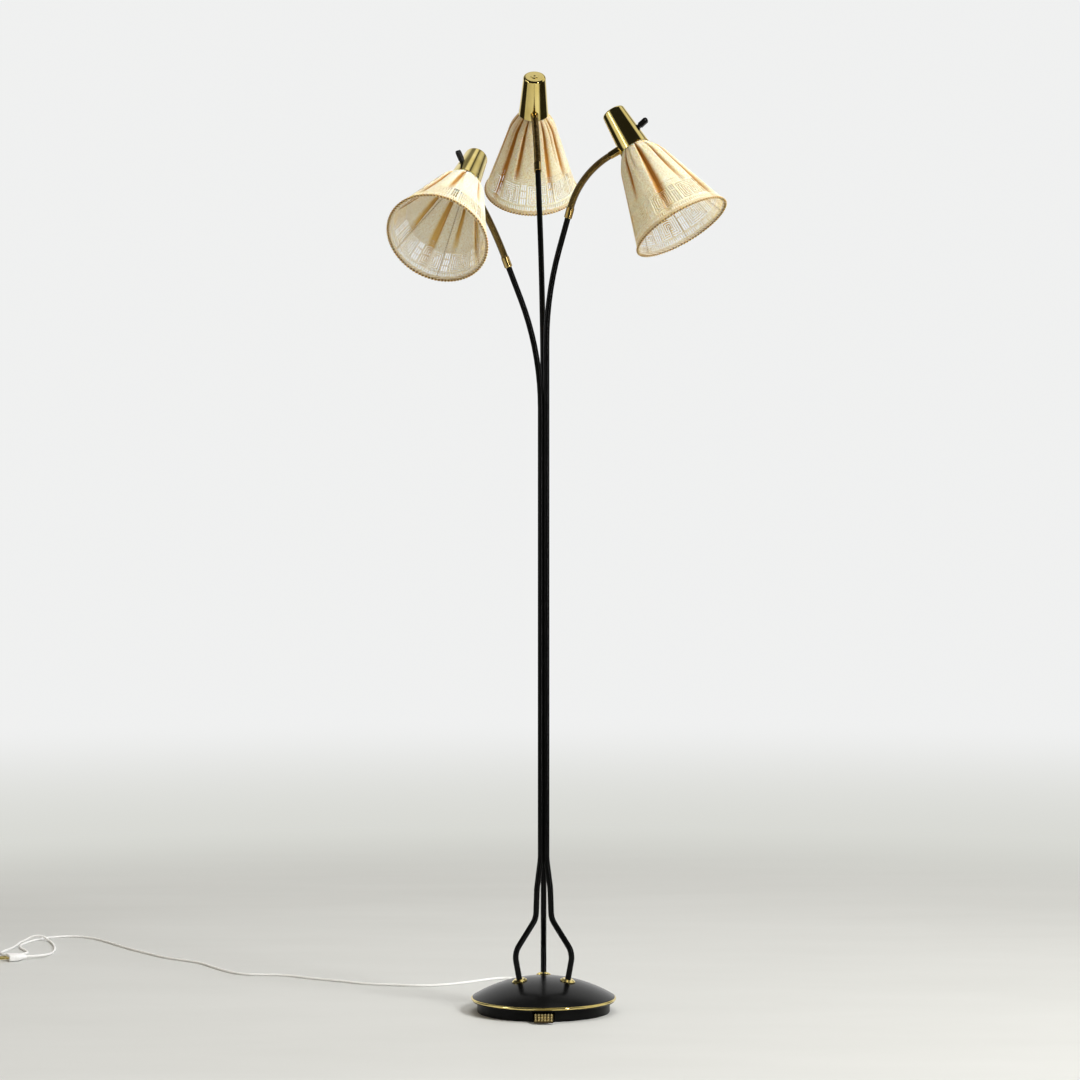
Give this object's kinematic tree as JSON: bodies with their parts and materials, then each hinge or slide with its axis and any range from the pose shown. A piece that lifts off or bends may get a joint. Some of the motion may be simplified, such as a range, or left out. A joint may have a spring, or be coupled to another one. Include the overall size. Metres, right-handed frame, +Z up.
{
  "type": "floor lamp",
  "caption": "Tree floor lamp: domed round base with foot switch, slender stem of joined tubes, arms with goosenecks, toggles and gathered openwork cloth shades.",
  "frame": {"origin": "centre of the base's underside, on the floor", "axes": "+Z up along the stem; the foot pedal is at -Y and the cord leaves at +Y"},
  "size_m": [1.3712, 1.1957, 1.6552],
  "materials": {
    "black_lacquer": "gloss black enamel on steel",
    "brass_hose": "brass plated ribbed gooseneck, a little duller than the caps",
    "brass": "polished and lacquered",
    "cast_iron": "raw casting",
    "steel": "zinc plated",
    "felt": "thin black felt",
    "bakelite": "moulded, glossy",
    "lead_sheath": "plain sheath",
    "white_plastic": "smooth moulded",
    "holder_shell": "drawn shell, silvery",
    "frame_wire": "wire wound with cream tape",
    "shade_cloth": "woven natural fibre with an openwork lower part"
  },
  "bodies": {
    "stand": {"base_dome": "black_lacquer", "rim_ring": "brass", "base_weight": "cast_iron", "base_pan": "black_lacquer", "base_felt": "felt", "pan_screws": "steel", "rosette_left": "brass", "rosette_right": "brass", "rosette_back": "brass", "tube_washers": "steel", "tube_nuts": "steel", "terminal_block": "bakelite", "stem_leads": "lead_sheath", "supply_lead": "white_plastic", "pedal_pin": "steel", "switch_housing": "bakelite", "switch_spring": "steel", "cord_gland": "white_plastic", "mains_cord": "white_plastic", "plug_body": "white_plastic", "plug_pins": "brass", "stem_tube_left": "black_lacquer", "ferrule_left": "brass", "neck_lower_left": "brass_hose", "stem_tube_right": "black_lacquer", "ferrule_right": "brass", "neck_lower_right": "brass_hose", "stem_tube_back": "black_lacquer", "ferrule_back": "brass", "neck_lower_back": "brass_hose"},
    "pedal": {"pedal_lever": "steel", "pedal_tread": "brass"},
    "plunger": {"switch_plunger": "bakelite"},
    "mid_left": {"neck_upper_left": "brass_hose"},
    "head_left": {"neck_sleeve_left": "brass", "neck_nut_left": "brass", "cap_left": "brass", "cap_eyelet_left": "brass", "lamp_holder_left": "holder_shell", "shade_frame_left": "frame_wire", "shade_left": "shade_cloth"},
    "toggle_left": {"toggle_left": "bakelite"},
    "mid_right": {"neck_upper_right": "brass_hose"},
    "head_right": {"neck_sleeve_right": "brass", "neck_nut_right": "brass", "cap_right": "brass", "cap_eyelet_right": "brass", "lamp_holder_right": "holder_shell", "shade_frame_right": "frame_wire", "shade_right": "shade_cloth"},
    "toggle_right": {"toggle_right": "bakelite"},
    "mid_back": {"neck_upper_back": "brass_hose"},
    "head_back": {"neck_sleeve_back": "brass", "neck_nut_back": "brass", "cap_back": "brass", "cap_eyelet_back": "brass", "lamp_holder_back": "holder_shell", "shade_frame_back": "frame_wire", "shade_back": "shade_cloth"},
    "toggle_back": {"toggle_back": "bakelite"}
  },
  "joints": [
    {"name": "neck_nod_left", "type": "hinge", "parent": "stand", "child": "mid_left", "pos_m": [-0.07672, -0.0452, 1.31822], "axis": [0.8783, -0.409, 0.2476], "range_deg": [-30, 30], "deforming": ["neck_lower_left"]},
    {"name": "neck_swing_left", "type": "hinge", "parent": "mid_left", "child": "head_left", "pos_m": [-0.09952, -0.06561, 1.3654], "axis": [0.215, 0.8004, 0.5596], "range_deg": [-30, 30], "deforming": ["neck_upper_left"]},
    {"name": "toggle_left", "type": "hinge", "parent": "head_left", "child": "toggle_left", "pos_m": [-0.13283, -0.09637, 1.43817], "axis": [-0.8599, 0.4729, -0.1922], "range_deg": [-24, 0]},
    {"name": "neck_nod_right", "type": "hinge", "parent": "stand", "child": "mid_right", "pos_m": [0.05632, -0.03094, 1.40454], "axis": [0.0106, 0.9878, 0.1556], "range_deg": [-30, 30], "deforming": ["neck_lower_right"]},
    {"name": "neck_swing_right", "type": "hinge", "parent": "mid_right", "child": "head_right", "pos_m": [0.09012, -0.03824, 1.44856], "axis": [-0.6684, -0.1087, 0.7358], "range_deg": [-30, 30], "deforming": ["neck_upper_right"]},
    {"name": "toggle_right", "type": "hinge", "parent": "head_right", "child": "toggle_right", "pos_m": [0.15327, -0.04239, 1.50659], "axis": [-0.1965, -0.9671, 0.1614], "range_deg": [-24, 0]},
    {"name": "neck_nod_back", "type": "hinge", "parent": "stand", "child": "mid_back", "pos_m": [-0.01147, 0.17832, 1.50354], "axis": [-0.9973, -0.0739, 0.0042], "range_deg": [-30, 30], "deforming": ["neck_lower_back"]},
    {"name": "neck_swing_back", "type": "hinge", "parent": "mid_back", "child": "head_back", "pos_m": [-0.01393, 0.21401, 1.54693], "axis": [0.0554, -0.708, 0.704], "range_deg": [-30, 30], "deforming": ["neck_upper_back"]},
    {"name": "toggle_back", "type": "hinge", "parent": "head_back", "child": "toggle_back", "pos_m": [-0.01799, 0.26747, 1.61384], "axis": [0.9982, 0.058, 0.0147], "range_deg": [-24, 0]},
    {"name": "pedal_press", "type": "hinge", "parent": "stand", "child": "pedal", "pos_m": [0, -0.07, 0.014], "axis": [1, 0, 0], "range_deg": [0, 2.6], "stiffness_Nm_per_rad": 3, "springref_deg": -8.59},
    {"name": "plunger_slide", "type": "slide", "parent": "stand", "child": "plunger", "axis": [0, 0, -1], "range_m": [0, 0.0013], "deforming": ["switch_spring"]}
  ],
  "couplings": [
    {"joint": "plunger_slide", "follows": "pedal_press", "m_per_rad": 0.026}
  ]
}
